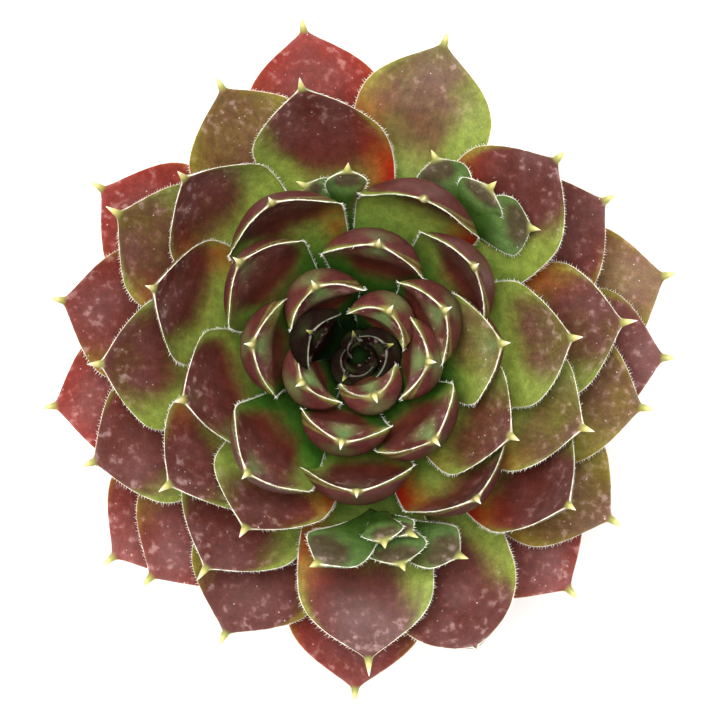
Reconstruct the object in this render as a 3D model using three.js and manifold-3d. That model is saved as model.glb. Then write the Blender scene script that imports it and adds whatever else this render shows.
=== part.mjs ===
// A houseleek, a small rosette succulent with a few offsets, growing in a plain clay pot.
// Millimetres, +Z up, origin at the centre of the pot's foot.
//
// Every leaf is cut flat and laid on a bowl, a surface of revolution about the plant's axis. The bowls
// of successive leaves are nested and never cross, so the leaves fan out without meeting.
import * as THREE from "three";
import { mergeVertices } from "three/addons/utils/BufferGeometryUtils.js";
import Module from "manifold-3d";

const wasm = await Module();
wasm.setup();

// ---- Driving dimensions, in millimetres and degrees ----

const POT_TOP_DIAMETER = 66; // outside, over the rim band
const POT_BASE_DIAMETER = 46;
const POT_HEIGHT = 60;
const POT_WALL = 3.5;
const POT_FLOOR = 5;
const RIM_HEIGHT = 14;
const RIM_PROUD = 2;
const DRAIN_HOLE_DIAMETER = 5;
const DRAIN_HOLE_COUNT = 3;
const DRAIN_CIRCLE_DIAMETER = 26;
const POT_EDGE = 0.25 * POT_WALL; // bevel of the rim and the foot

const SOIL_BELOW_RIM = 5;
const SOIL_CROWN = 1.5; // how much higher the soil is at the stem than at the pot's wall

const ROSETTE_DIAMETER = 97; // over the spines of the oldest leaves
const LEAF_COUNT = 62;
const BUD_LEAF_COUNT = 4; // the youngest leaves, still folded in the heart bud
const FALLEN_LEAVES = [47, 52, 56, 58, 59, 60];
const LEAF_WIDTH = 20.5; // of the oldest leaves
const LEAF_THICKNESS = 2.6; // of the oldest leaves
const SPINE_LENGTH = 2.4;
const SPINE_THICKNESS = 0.6;
const STEM_DIAMETER = 12; // under the oldest leaf
const STEM_TIP_DIAMETER = 2.2;
const ROOT_LENGTH = 18;
const ROOT_TIP_DIAMETER = 4;

const FIT_GAP = 0.3; // between pieces that seat in or on each other
const ROUND_SEGMENTS = 40;
const HOLE_SEGMENTS = 12;

// ---- How the rosette grows ----

const GOLDEN_ANGLE = 137.5; // from one leaf to the next, around the stem
const FIRST_LEAF_TURN = 102;
const CROWDING = (4.73 * LEAF_WIDTH) / ROSETTE_DIAMETER; // 1 where the leaves just have room
const LEAF_RISE = 0.13 * LEAF_THICKNESS * CROWDING; // from one leaf to the next, along the stem
const CROWN_HEIGHT = LEAF_RISE * LEAF_COUNT;
const CROWN_FOOT_Z = POT_HEIGHT + 0.5 * LEAF_THICKNESS;
const YOUNG_LEAF_SPREAD = 2.8; // in leaf numbers: how far out the youngest tip already stands
const FULL_GROWN_LEAF = 40.5; // number of the leaf at which the spiral stops widening
const SPREAD_SHARPNESS = 5; // how abruptly it stops
const STEM_TAPER = 0.8; // below 1 the cone of the stem is blunt
const OPEN_LEAN = 2; // degrees above level at the foot of a fully open leaf
const HEART_LEAN = 58; // degrees steeper at the foot of the youngest
const LEAN_FALLOFF = 14; // in leaf numbers
const OPEN_TIP_LEAN = 12; // degrees above level at the tip of a fully open leaf
const HEART_TIP_LEAN = 92; // degrees steeper where the leaves close over the heart
const TIP_OPENING = [-14, 58]; // leaf numbers between which the tips open
const NEW_WIDTH_SHARE = 0.3; // of the full width, in the bud
const NEW_THICKNESS_SHARE = 0.5;
const WIDENING = 12; // in leaf numbers
const THICKENED_LEAF = 30; // number of the first leaf of full thickness

// The leaves that plainly stand aside from the even spiral, by the degrees they are turned, in steps of 5.
const LEAF_TURNS = {
  5: -15, 7: 10, 10: -10, 13: -10, 17: -10, 18: -20, 21: 10, 22: -10, 23: -20, 25: 10, 26: -10, 28: -10,
  29: 5, 30: 5, 33: 5, 34: 5, 36: -5, 38: 5, 39: 10, 41: 10, 43: -10, 46: 20, 48: 5, 50: 10, 51: -5,
  54: -15, 55: -5, 57: -5, 61: 10,
};
// Millimetres longer or shorter than the even spiral gives, for the leaves where it shows.
const LEAF_REACHES = {
  14: 3, 15: 2, 17: -1, 19: 2, 21: -2, 22: 3, 23: 3, 25: -3, 26: -4, 30: 8,
  31: 4, 36: -1, 38: 3, 39: 6, 43: 2, 44: -1, 51: 4, 55: 3, 57: 1, 61: 1,
};
// The bowls of the two leaves that stand closer than the spiral gives: one lies a little higher and the
// other lower than its number says, so that they clear each other.
const LEAF_BOWLS = { 46: 45.6, 49: 51 };
// Degrees by which the outer half of a leaf curls up further than its bowl, or droops from it.
const LEAF_CURLS = { 13: 14, 17: 20, 18: 22, 21: 12, 25: 24, 26: 34, 30: -26, 31: -8, 33: 14, 39: -10 };

// The offsets: small rosettes of their own, pushed out between the main leaves. The heart of each lies
// at a turn about the stem and a distance along the bowls. Each of its leaves gives its bowl, its
// heading, where 0 points away from the stem, its length and its width.
const OFFSET_LEAF_THICKNESS = 1.3;
const OFFSET_HEART_DIAMETER = 4;
const OFFSET_SPINE_SHARE = 0.6; // of a main leaf's spine
const HEART_SEGMENTS = [10, 8];
const OFFSETS = [
  {
    name: "offset_front",
    turn: 278,
    along: 22,
    leaves: [
      { bowl: 21, heading: 0, length: 6, width: 6 },
      { bowl: 21.5, heading: -44, length: 14, width: 9 },
      { bowl: 22, heading: 40, length: 6, width: 4 },
      { bowl: 23.5, heading: 12, length: 9.5, width: 9 },
      { bowl: 27, heading: 52, length: 13, width: 8 },
    ],
  },
  {
    name: "offset_back",
    turn: 53,
    along: 22,
    leaves: [
      { bowl: 28, heading: -6, length: 8, width: 8 },
      { bowl: 28.1, heading: -56, length: 12, width: 9 },
      { bowl: 28.4, heading: 56, length: 11, width: 8 },
    ],
  },
  {
    name: "offset_back_small",
    turn: 96,
    along: 19,
    leaves: [
      { bowl: 22.9, heading: -10, length: 7, width: 6 },
      { bowl: 23.6, heading: 46, length: 7, width: 6 },
    ],
  },
];

function radians(degrees) {
  return (degrees * Math.PI) / 180;
}

function mix(a, b, share) {
  return a + (b - a) * share;
}

// 0 below the start, 1 above the end, smooth between.
function ramp(value, start, end) {
  const share = Math.min(1, Math.max(0, (value - start) / (end - start)));
  return share * share * (3 - 2 * share);
}

// ---- The bowls ----

// How far from the axis the tip of a leaf comes on the even spiral.
function tipRadius(order) {
  const share = (order + YOUNG_LEAF_SPREAD) / FULL_GROWN_LEAF;
  const limit = Math.pow(1 + Math.pow(share, SPREAD_SHARPNESS), 1 / SPREAD_SHARPNESS);
  return ((ROSETTE_DIAMETER / 2) * share) / limit;
}

// The profile of the bowl that leaf number `order` lies on, where 0 is the youngest leaf. It leaves the
// stem at an angle `lean` above level and bends evenly to `lean` plus `bend` times the way along it.
function bowlOf(order) {
  const age = order / LEAF_COUNT;
  const stem = mix(STEM_TIP_DIAMETER, STEM_DIAMETER, Math.pow(age, STEM_TAPER)) / 2;
  const radius = stem + FIT_GAP;
  const lean = radians(OPEN_LEAN + HEART_LEAN * Math.exp(-order / LEAN_FALLOFF));
  const tipLean = radians(OPEN_TIP_LEAN + HEART_TIP_LEAN * (1 - ramp(order, ...TIP_OPENING)));
  const length = ((tipRadius(order) - radius) * (tipLean - lean)) / (Math.sin(tipLean) - Math.sin(lean));
  return {
    radius,
    z: CROWN_FOOT_Z + CROWN_HEIGHT * (1 - age),
    lean,
    bend: (tipLean - lean) / length,
    length,
  };
}

// The point at distance `along` on a bowl's profile, and the angle there. Past `curlFrom` the profile
// bends by `curl` more for each millimetre.
function profilePoint(bowl, along, curlFrom = Infinity, curl = 0) {
  const plain = Math.min(along, curlFrom);
  const angle = bowl.lean + bowl.bend * plain;
  const point = {
    radius: bowl.radius + (Math.sin(angle) - Math.sin(bowl.lean)) / bowl.bend,
    z: bowl.z + (Math.cos(bowl.lean) - Math.cos(angle)) / bowl.bend,
    angle,
  };
  if (along <= curlFrom) {
    return point;
  }
  const bend = bowl.bend + curl;
  const end = angle + bend * (along - curlFrom);
  return {
    radius: point.radius + (Math.sin(end) - Math.sin(angle)) / bend,
    z: point.z + (Math.cos(angle) - Math.cos(end)) / bend,
    angle: end,
  };
}

// ---- Leaves ----

const RING_POINTS = 8;
const LEAF_STATIONS = [0, 0.15, 0.36, 0.55, 0.7, 0.82, 0.92, 1];
const WIDEST_AT = 0.68;
const BASE_WIDTH_SHARE = 0.42;
const BASE_THICKNESS_SHARE = 0.4;
const UPPER_SHARE = 0.4; // the upper face is flatter than the lower one
const CLASP_LENGTH = 8; // over which the leaf's foot opens from the round stem to its flat blade
const BASE_SHAPE = 1.6; // above 1 the foot stays narrow for longer
const TIP_SHAPE = 0.85; // below 1 the shoulders are fuller
const THICKENS_TO = 0.45; // shares of the length between which the blade is thickest
const THINS_FROM = 0.72;
const CURL_FROM = 0.5; // share of the length past which a leaf curls
const LEAST_SLOPE = 0.05; // keeps the fan's apex at a distance where a bowl stands upright

// Half of the blade's width at a share of its length, for a blade one wide.
function outline(share) {
  if (share < WIDEST_AT) {
    const toWidest = Math.sin((Math.PI / 2) * (share / WIDEST_AT));
    return mix(BASE_WIDTH_SHARE, 1, Math.pow(toWidest, BASE_SHAPE)) / 2;
  }
  const toTip = (share - WIDEST_AT) / (1 - WIDEST_AT);
  return Math.pow(1 - Math.pow(toTip, 2), TIP_SHAPE) / 2;
}

function bladeThickness(share, full) {
  const grown = mix(BASE_THICKNESS_SHARE, 1, ramp(share, 0, THICKENS_TO));
  return mix(full * grown, SPINE_THICKNESS, ramp(share, THINS_FROM, 1));
}

// A closed leaf. `leaf` gives the bowl's order, the turn about the axis, the length, width and
// thickness, and, for the leaves of an offset, where the foot lies on the bowl and its heading.
function leafGeometry(leaf) {
  const bowl = bowlOf(leaf.order);
  const from = leaf.from ?? 0;
  const heading = radians(leaf.heading ?? 0);
  const curlFrom = leaf.curl ? CURL_FROM * leaf.length : Infinity;
  const curl = radians(leaf.curl ?? 0) / ((1 - CURL_FROM) * leaf.length);
  const positions = [];
  const indices = [];

  // Lays a point of the flat leaf, `u` along it, `v` across it and `h` above it, on the bowl.
  const lay = (u, v, h) => {
    const s = from + u * Math.cos(heading) - v * Math.sin(heading);
    const across = u * Math.sin(heading) + v * Math.cos(heading);
    const flat = profilePoint(bowl, s, curlFrom, curl);
    const slope = Math.max(LEAST_SLOPE, Math.abs(Math.cos(flat.angle)));
    const toApex = flat.radius / slope;
    const shift = (Math.hypot(toApex, across) - toApex) * Math.sign(Math.cos(flat.angle));
    const laid = profilePoint(bowl, s + shift * ramp(s, 0, CLASP_LENGTH), curlFrom, curl);
    const turn = radians(leaf.turn) + Math.atan2(across, toApex) / slope;
    const radius = laid.radius - h * Math.sin(laid.angle);
    positions.push(radius * Math.cos(turn), radius * Math.sin(turn), laid.z + h * Math.cos(laid.angle));
  };

  for (const share of LEAF_STATIONS) {
    const half = Math.max(outline(share) * leaf.width, SPINE_THICKNESS / 2);
    const thickness = bladeThickness(share, leaf.thickness);
    for (let i = 0; i < RING_POINTS; i++) {
      const angle = (2 * Math.PI * i) / RING_POINTS;
      const rise = Math.sin(angle) * Math.abs(Math.sin(angle));
      const side = rise > 0 ? UPPER_SHARE : 1 - UPPER_SHARE;
      lay(share * leaf.length, half * Math.cos(angle), side * thickness * rise);
    }
  }
  lay(leaf.length + (leaf.spine ?? SPINE_LENGTH), 0, 0);

  const apex = LEAF_STATIONS.length * RING_POINTS;
  for (let ring = 0; ring < LEAF_STATIONS.length - 1; ring++) {
    for (let i = 0; i < RING_POINTS; i++) {
      const a = ring * RING_POINTS + i;
      const b = ring * RING_POINTS + ((i + 1) % RING_POINTS);
      indices.push(a, b, a + RING_POINTS, b, b + RING_POINTS, a + RING_POINTS);
    }
  }
  for (let i = 0; i < RING_POINTS; i++) {
    const last = apex - RING_POINTS;
    indices.push(last + i, last + ((i + 1) % RING_POINTS), apex);
  }
  // The foot's end follows the round stem, so it is closed across the blade, not by a flat fan.
  for (let i = 0; i < RING_POINTS / 2; i++) {
    const above = [i, i + 1];
    const below = [(RING_POINTS - i) % RING_POINTS, RING_POINTS - i - 1];
    if (above[0] !== below[0]) {
      indices.push(above[0], below[0], above[1]);
    }
    if (above[1] !== below[1]) {
      indices.push(above[1], below[0], below[1]);
    }
  }
  const geometry = new THREE.BufferGeometry();
  geometry.setAttribute("position", new THREE.Float32BufferAttribute(positions, 3));
  geometry.setIndex(indices);
  return geometry;
}

// The leaf of the main rosette with this number.
function rosetteLeaf(order) {
  const reach = LEAF_REACHES[order] ?? 0;
  return leafGeometry({
    order: LEAF_BOWLS[order] ?? order,
    turn: FIRST_LEAF_TURN + GOLDEN_ANGLE * order + (LEAF_TURNS[order] ?? 0),
    length: bowlOf(order).length + reach - SPINE_LENGTH,
    width: LEAF_WIDTH * mix(1, NEW_WIDTH_SHARE, Math.exp(-(order + 2) / WIDENING)),
    thickness: LEAF_THICKNESS * mix(NEW_THICKNESS_SHARE, 1, ramp(order, 0, THICKENED_LEAF)),
    curl: LEAF_CURLS[order],
  });
}

// ---- Joining and cutting ----

function solidOf(geometry) {
  const bare = new THREE.BufferGeometry();
  const source = geometry.index ? geometry.toNonIndexed() : geometry;
  bare.setAttribute("position", source.getAttribute("position"));
  const merged = mergeVertices(bare, 1e-4);
  return new wasm.Manifold(
    new wasm.Mesh({
      numProp: 3,
      vertProperties: merged.attributes.position.array,
      triVerts: new Uint32Array(merged.index.array),
    }),
  );
}

function geometryOf(solid) {
  const mesh = solid.getMesh();
  const geometry = new THREE.BufferGeometry();
  geometry.setAttribute("position", new THREE.BufferAttribute(mesh.vertProperties, 3));
  geometry.setIndex(new THREE.BufferAttribute(mesh.triVerts, 1));
  return geometry;
}

function joined(geometries) {
  return geometryOf(geometries.map(solidOf).reduce((all, next) => all.add(next)));
}

// ---- Pot, soil and stem ----

// A solid turned about +Z from a closed profile of [radius, height] pairs.
function turned(profile) {
  const points = profile.map(([radius, height]) => new THREE.Vector2(radius, height));
  return new THREE.LatheGeometry(points, ROUND_SEGMENTS).rotateX(Math.PI / 2);
}

// Inside radius of the pot at a height.
function potBore(height) {
  const base = POT_BASE_DIAMETER / 2 - POT_WALL;
  const top = POT_TOP_DIAMETER / 2 - RIM_PROUD - POT_WALL;
  return mix(base, top, height / POT_HEIGHT);
}

function potGeometry() {
  const rimRadius = POT_TOP_DIAMETER / 2;
  const rimFoot = POT_HEIGHT - RIM_HEIGHT;
  const body = turned([
    [0, 0],
    [POT_BASE_DIAMETER / 2 - POT_EDGE, 0],
    [POT_BASE_DIAMETER / 2, POT_EDGE],
    [potBore(rimFoot) + POT_WALL, rimFoot],
    [rimRadius - POT_EDGE, rimFoot],
    [rimRadius, rimFoot + POT_EDGE],
    [rimRadius, POT_HEIGHT - POT_EDGE],
    [rimRadius - POT_EDGE, POT_HEIGHT],
    [potBore(POT_HEIGHT) + POT_EDGE, POT_HEIGHT],
    [potBore(POT_HEIGHT), POT_HEIGHT - POT_EDGE],
    [potBore(POT_FLOOR), POT_FLOOR],
    [0, POT_FLOOR],
  ]);
  let pot = solidOf(body);
  for (let i = 0; i < DRAIN_HOLE_COUNT; i++) {
    const turn = (2 * Math.PI * i) / DRAIN_HOLE_COUNT;
    const hole = new THREE.CylinderGeometry(
      DRAIN_HOLE_DIAMETER / 2,
      DRAIN_HOLE_DIAMETER / 2,
      3 * POT_FLOOR,
      HOLE_SEGMENTS,
    );
    hole.rotateX(Math.PI / 2);
    hole.translate(
      (DRAIN_CIRCLE_DIAMETER / 2) * Math.cos(turn),
      (DRAIN_CIRCLE_DIAMETER / 2) * Math.sin(turn),
      0,
    );
    pot = pot.subtract(solidOf(hole));
  }
  return geometryOf(pot);
}

const CONE_STEPS = 6;
const SOIL_BULGE = 0.75; // share of its crown that the soil has already risen halfway to the stem
const SOIL_Z = POT_HEIGHT - SOIL_BELOW_RIM;
const STEM_FOOT_Z = SOIL_Z + SOIL_CROWN;
const ROOT_TIP_Z = STEM_FOOT_Z - ROOT_LENGTH;

// The soil fills the pot, with a socket for the stem's root.
function soilGeometry() {
  const floor = POT_FLOOR + FIT_GAP;
  const socketFoot = ROOT_TIP_Z - FIT_GAP;
  return turned([
    [0, floor],
    [potBore(floor) - FIT_GAP, floor],
    [potBore(SOIL_Z) - FIT_GAP, SOIL_Z],
    [mix(potBore(SOIL_Z), STEM_DIAMETER / 2, 0.5), SOIL_Z + SOIL_BULGE * SOIL_CROWN],
    [STEM_DIAMETER / 2 + FIT_GAP, STEM_FOOT_Z],
    [ROOT_TIP_DIAMETER / 2 + FIT_GAP, socketFoot],
    [0, socketFoot],
  ]);
}

// The stem with its root below and the cone that carries the leaves above.
function stemGeometry() {
  const cone = [];
  for (let step = 0; step <= CONE_STEPS; step++) {
    const bowl = bowlOf(mix(LEAF_COUNT, BUD_LEAF_COUNT, step / CONE_STEPS));
    cone.push([bowl.radius - FIT_GAP, bowl.z]);
  }
  return turned([
    [0, ROOT_TIP_Z],
    [ROOT_TIP_DIAMETER / 2, ROOT_TIP_Z],
    [STEM_DIAMETER / 2, STEM_FOOT_Z],
    ...cone,
    [0, bowlOf(BUD_LEAF_COUNT).z],
  ]);
}

const BUD_CORE_HEIGHT = 4; // of the growing point's cone, in its own radii

// The youngest leaves, joined at the growing point.
function heartBudGeometry() {
  const outermost = bowlOf(BUD_LEAF_COUNT - 1);
  const foot = outermost.z + 0.5 * FIT_GAP;
  const radius = outermost.radius;
  const core = turned([
    [0, foot],
    [radius, foot],
    [radius, foot + radius],
    [0, foot + BUD_CORE_HEIGHT * radius],
  ]);
  const leaves = [];
  for (let order = 0; order < BUD_LEAF_COUNT; order++) {
    leaves.push(rosetteLeaf(order));
  }
  return joined([core, ...leaves]);
}

// An offset, its leaves joined at a round heart that reaches from its highest bowl to its lowest.
function offsetGeometry(offset) {
  const bowls = offset.leaves.map((leaf) => leaf.bowl);
  const top = profilePoint(bowlOf(Math.min(...bowls)), offset.along);
  const bottom = profilePoint(bowlOf(Math.max(...bowls)), offset.along);
  const radius = OFFSET_HEART_DIAMETER / 2;
  const distance = mix(top.radius, bottom.radius, 0.5);
  const heart = new THREE.SphereGeometry(radius, ...HEART_SEGMENTS);
  heart.rotateX(Math.PI / 2);
  heart.scale(1, 1, (0.5 * (top.z - bottom.z) + OFFSET_LEAF_THICKNESS / 2) / radius);
  heart.translate(
    distance * Math.cos(radians(offset.turn)),
    distance * Math.sin(radians(offset.turn)),
    mix(top.z, bottom.z, 0.5),
  );
  const leaves = offset.leaves.map((leaf) =>
    leafGeometry({
      order: leaf.bowl,
      turn: offset.turn,
      from: offset.along,
      heading: leaf.heading,
      length: leaf.length,
      width: leaf.width,
      thickness: OFFSET_LEAF_THICKNESS,
      spine: OFFSET_SPINE_SHARE * SPINE_LENGTH,
    }),
  );
  return joined([heart, ...leaves]);
}

// ---- Assembly ----

function finish(color, roughness) {
  return new THREE.MeshStandardMaterial({ color, roughness, metalness: 0 });
}

const plant = new THREE.Group();

function addPiece(name, geometry, material) {
  const mesh = new THREE.Mesh(geometry, material);
  mesh.name = name;
  plant.add(mesh);
}

addPiece("pot", potGeometry(), finish("#b5674a", 0.85));
addPiece("soil", soilGeometry(), finish("#3a2b20", 0.95));
addPiece("stem", stemGeometry(), finish("#8a7a4c", 0.8));
addPiece("heart_bud", heartBudGeometry(), finish("#3f5a2e", 0.55));
for (let order = BUD_LEAF_COUNT; order < LEAF_COUNT; order++) {
  if (!FALLEN_LEAVES.includes(order)) {
    const number = String(order).padStart(2, "0");
    addPiece("leaf_" + number, rosetteLeaf(order), finish("#6b3a36", 0.5));
  }
}
for (const offset of OFFSETS) {
  addPiece(offset.name, offsetGeometry(offset), finish("#4c6b3c", 0.55));
}

export default plant;
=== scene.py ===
"""A houseleek in a plain clay pot: the looks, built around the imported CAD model.

Constants are in millimetres and degrees, meshes in metres. The pieces come in the order in which the
plant is put together: pot, soil, stem, leaves, heart, offsets and the hairs on the leaf margins.
"""

import math
import random

import bpy
import numpy as np
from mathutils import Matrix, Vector, noise


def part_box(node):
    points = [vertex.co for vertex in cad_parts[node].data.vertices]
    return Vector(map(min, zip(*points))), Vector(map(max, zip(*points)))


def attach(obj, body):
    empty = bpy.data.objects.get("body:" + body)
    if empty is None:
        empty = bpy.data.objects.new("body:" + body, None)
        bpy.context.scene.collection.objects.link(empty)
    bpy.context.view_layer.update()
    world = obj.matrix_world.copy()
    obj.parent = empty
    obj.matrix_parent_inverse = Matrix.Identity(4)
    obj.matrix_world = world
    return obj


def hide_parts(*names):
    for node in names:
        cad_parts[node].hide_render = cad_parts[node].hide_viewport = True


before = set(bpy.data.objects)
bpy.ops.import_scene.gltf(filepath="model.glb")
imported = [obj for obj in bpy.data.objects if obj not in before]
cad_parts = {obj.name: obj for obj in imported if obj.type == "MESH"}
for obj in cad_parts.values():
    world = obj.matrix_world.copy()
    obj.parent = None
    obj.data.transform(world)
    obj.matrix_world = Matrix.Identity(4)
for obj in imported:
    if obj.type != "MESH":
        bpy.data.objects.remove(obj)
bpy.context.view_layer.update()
MM = 0.001

# ---- Pot ---------------------------------------------------------------------------------------
# A plain flowerpot of red earthenware, pressed and turned in a mould and fired once, without a
# glaze. A band runs round the rim, and three holes through the floor let the water out.

POT_BASE_RADIUS = 23
POT_WALL = 3.5
POT_FLOOR = 5
RIM_HEIGHT = 14
RIM_PROUD = 2
POT_ROUNDING = 0.8  # of the rim's and the foot's edges
DRAIN_HOLE_RADIUS = 2.5
DRAIN_HOLE_COUNT = 3
DRAIN_CIRCLE_RADIUS = 13
POT_SEGMENTS = 144
CLAY_GRAIN = 0.5
TURNING_MARK_SPACING = 1.6

pot_low, pot_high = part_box("pot")
POT_RADIUS = (pot_high.x - pot_low.x) / 2 / MM
POT_HEIGHT = pot_high.z / MM


def mix(a, b, share):
    return a + (b - a) * share


def pot_bore(height):
    """Inside radius of the pot at a height."""
    base = POT_BASE_RADIUS - POT_WALL
    top = POT_RADIUS - RIM_PROUD - POT_WALL
    return mix(base, top, height / POT_HEIGHT)


def rounded(profile, radius, steps=5):
    """A profile of (radius, height) pairs with its inner corners rounded."""
    points = [Vector(p) for p in profile]
    smooth = [points[0]]
    for before, corner, after in zip(points, points[1:], points[2:]):
        back = (before - corner).normalized()
        on = (after - corner).normalized()
        half = back.angle(on) / 2
        cut = min(radius / math.tan(half), 0.45 * (before - corner).length, 0.45 * (after - corner).length)
        start = corner + cut * back
        end = corner + cut * on
        for step in range(steps + 1):
            share = step / steps
            smooth.append(start.lerp(corner, share).lerp(corner.lerp(end, share), share))
    return [tuple(p) for p in smooth + [points[-1]]]


def mesh_piece(name, vertices, faces, material):
    """A smooth-shaded mesh object from vertices in millimetres."""
    mesh = bpy.data.meshes.new(name)
    mesh.from_pydata([tuple(v) for v in np.asarray(vertices) * MM], [], faces)
    mesh.shade_smooth()
    mesh.materials.append(material)
    mesh.validate()
    piece = bpy.data.objects.new(name, mesh)
    bpy.context.scene.collection.objects.link(piece)
    return piece


def turned(profile, segments):
    """Vertices and faces of a solid turned about +Z. The profile runs from the axis to the axis."""
    vertices = [(0, 0, profile[0][1])]
    faces = []
    for radius, height in profile[1:-1]:
        for i in range(segments):
            angle = 2 * math.pi * i / segments
            vertices.append((radius * math.cos(angle), radius * math.sin(angle), height))
    vertices.append((0, 0, profile[-1][1]))
    last = len(vertices) - 1
    for i in range(segments):
        j = (i + 1) % segments
        faces.append((0, 1 + j, 1 + i))
        for ring in range(len(profile) - 3):
            a = 1 + ring * segments
            b = a + segments
            faces.append((a + i, a + j, b + j, b + i))
        end = last - segments
        faces.append((end + i, end + j, last))
    return vertices, faces


def linear(colour):
    """An sRGB hex colour as linear red, green, blue and alpha."""
    channels = [int(colour[i : i + 2], 16) / 255 for i in (1, 3, 5)]
    return [c / 12.92 if c <= 0.04045 else ((c + 0.055) / 1.055) ** 2.4 for c in channels] + [1]


def add(tree, kind, inputs=(), **settings):
    """Adds a node with its settings.

    The inputs are a list in the order of the node's sockets, or a dictionary by their names or
    numbers. Each is a value, or the output socket that it is linked to.
    """
    node = tree.nodes.new(kind)
    for name, value in settings.items():
        setattr(node, name, value)
    for name, value in inputs.items() if isinstance(inputs, dict) else enumerate(inputs):
        if isinstance(value, bpy.types.NodeSocket):
            tree.links.new(value, node.inputs[name])
        else:
            node.inputs[name].default_value = value
    return node


# A ramp that eases in and out, and a mix of two colours.
SMOOTH = {"interpolation_type": "SMOOTHSTEP"}
COLOUR = {"data_type": "RGBA"}


def new_material(name):
    """An empty material, its node tree and its surface shader."""
    material = bpy.data.materials.new(name)
    material.use_nodes = True
    tree = material.node_tree
    return material, tree, tree.nodes["Principled BSDF"]


# Fired red earthenware: dull and dry, sandy close up, with fine turning marks round it and a paler
# bloom here and there where lime has come through.
clay, nodes, surface = new_material("red earthenware, fired, unglazed")
place = add(nodes, "ShaderNodeTexCoord").outputs["Object"]
tone = add(nodes, "ShaderNodeTexNoise", {"Vector": place, "Scale": 1 / (18 * MM), "Detail": 4.0})
bloom = add(nodes, "ShaderNodeTexNoise", {"Vector": place, "Scale": 1 / (9 * MM), "Detail": 6.0})
grain = add(nodes, "ShaderNodeTexNoise", {"Vector": place, "Scale": 1 / (CLAY_GRAIN * MM), "Detail": 3.0})
marks = add(
    nodes,
    "ShaderNodeTexWave",
    # A wave of scale 1 repeats every 2 pi / 20 of a unit.
    {"Vector": place, "Scale": 0.314 / (TURNING_MARK_SPACING * MM), "Distortion": 1.5, "Detail Scale": 3.0},
    bands_direction="Z",
)
paler = add(nodes, "ShaderNodeMapRange", [tone.outputs["Fac"], 0.35, 0.65], **SMOOTH).outputs[0]
body = add(
    nodes, "ShaderNodeMix", {0: paler, 6: linear("#a9593b"), 7: linear("#bd6d4b")}, **COLOUR
).outputs[2]
pale = add(nodes, "ShaderNodeMapRange", [bloom.outputs["Fac"], 0.58, 0.8, 0.0, 0.3], **SMOOTH).outputs[0]
body = add(nodes, "ShaderNodeMix", {0: pale, 6: body, 7: linear("#d9b49c")}, **COLOUR).outputs[2]
speck = add(nodes, "ShaderNodeMapRange", [grain.outputs["Fac"], 0.3, 0.7, 0.86, 1.08], **SMOOTH).outputs[0]
speckled = add(nodes, "ShaderNodeCombineColor", [speck, speck, speck]).outputs[0]
body = add(
    nodes, "ShaderNodeMix", {0: 1.0, 6: body, 7: speckled}, blend_type="MULTIPLY", **COLOUR
).outputs[2]
relief_inputs = [marks.outputs["Fac"], 0.4, grain.outputs["Fac"]]
relief = add(nodes, "ShaderNodeMath", relief_inputs, operation="MULTIPLY_ADD")
bump = add(nodes, "ShaderNodeBump", {"Height": relief.outputs[0], "Strength": 0.35, "Distance": 0.15 * MM})
nodes.links.new(body, surface.inputs["Base Color"])
nodes.links.new(bump.outputs[0], surface.inputs["Normal"])
surface.inputs["Roughness"].default_value = 0.85
surface.inputs["IOR"].default_value = 1.5

rim_foot = POT_HEIGHT - RIM_HEIGHT
pot_profile = [
    (0, 0),
    (POT_BASE_RADIUS, 0),
    (pot_bore(rim_foot) + POT_WALL, rim_foot),
    (POT_RADIUS, rim_foot),
    (POT_RADIUS, POT_HEIGHT),
    (pot_bore(POT_HEIGHT), POT_HEIGHT),
    (pot_bore(POT_FLOOR), POT_FLOOR),
    (0, POT_FLOOR),
]
pot = mesh_piece("flowerpot", *turned(rounded(pot_profile, POT_ROUNDING), POT_SEGMENTS), clay)
for i in range(DRAIN_HOLE_COUNT):
    turn = 2 * math.pi * i / DRAIN_HOLE_COUNT
    drill_profile = [
        (0, -POT_FLOOR),
        (DRAIN_HOLE_RADIUS, -POT_FLOOR),
        (DRAIN_HOLE_RADIUS, 2 * POT_FLOOR),
        (0, 2 * POT_FLOOR),
    ]
    vertices, faces = turned(drill_profile, 32)
    middle = np.array([math.cos(turn), math.sin(turn), 0]) * DRAIN_CIRCLE_RADIUS
    drill = mesh_piece("drill", np.array(vertices) + middle, faces, clay)
    cut = pot.modifiers.new("hole", "BOOLEAN")
    cut.object = drill
    cut.operation = "DIFFERENCE"
    bored = bpy.data.meshes.new_from_object(pot.evaluated_get(bpy.context.evaluated_depsgraph_get()))
    pot.modifiers.remove(cut)
    pot.data = bored
    bpy.data.objects.remove(drill)
pot.data.shade_smooth()
pot.data.set_sharp_from_angle(angle=math.radians(50))
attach(pot, "root")
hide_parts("pot")

# ---- Soil --------------------------------------------------------------------------------------
# Gritty potting soil for succulents: dark peat and loam, filled to just under the rim and pressed
# down a little, with loose grit of pumice and lava on top. It carries the plant's root.

SOIL_BELOW_RIM = 5
SOIL_CROWN = 1.5
SOIL_ROUGHNESS = 0.7  # height of the lumps
FIT_GAP = 0.3
ROOT_LENGTH = 18
ROOT_TIP_RADIUS = 2
STEM_RADIUS = 6
SOIL_RINGS = 26
GRIT_SIZE = 1.9
GRIT_PER_SQUARE_CM = 22
GRIT_SEED = 7

soil_z = POT_HEIGHT - SOIL_BELOW_RIM
soil_radius = pot_bore(soil_z) - FIT_GAP
stem_foot_z = soil_z + SOIL_CROWN
socket_foot_z = stem_foot_z - ROOT_LENGTH - FIT_GAP

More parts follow.
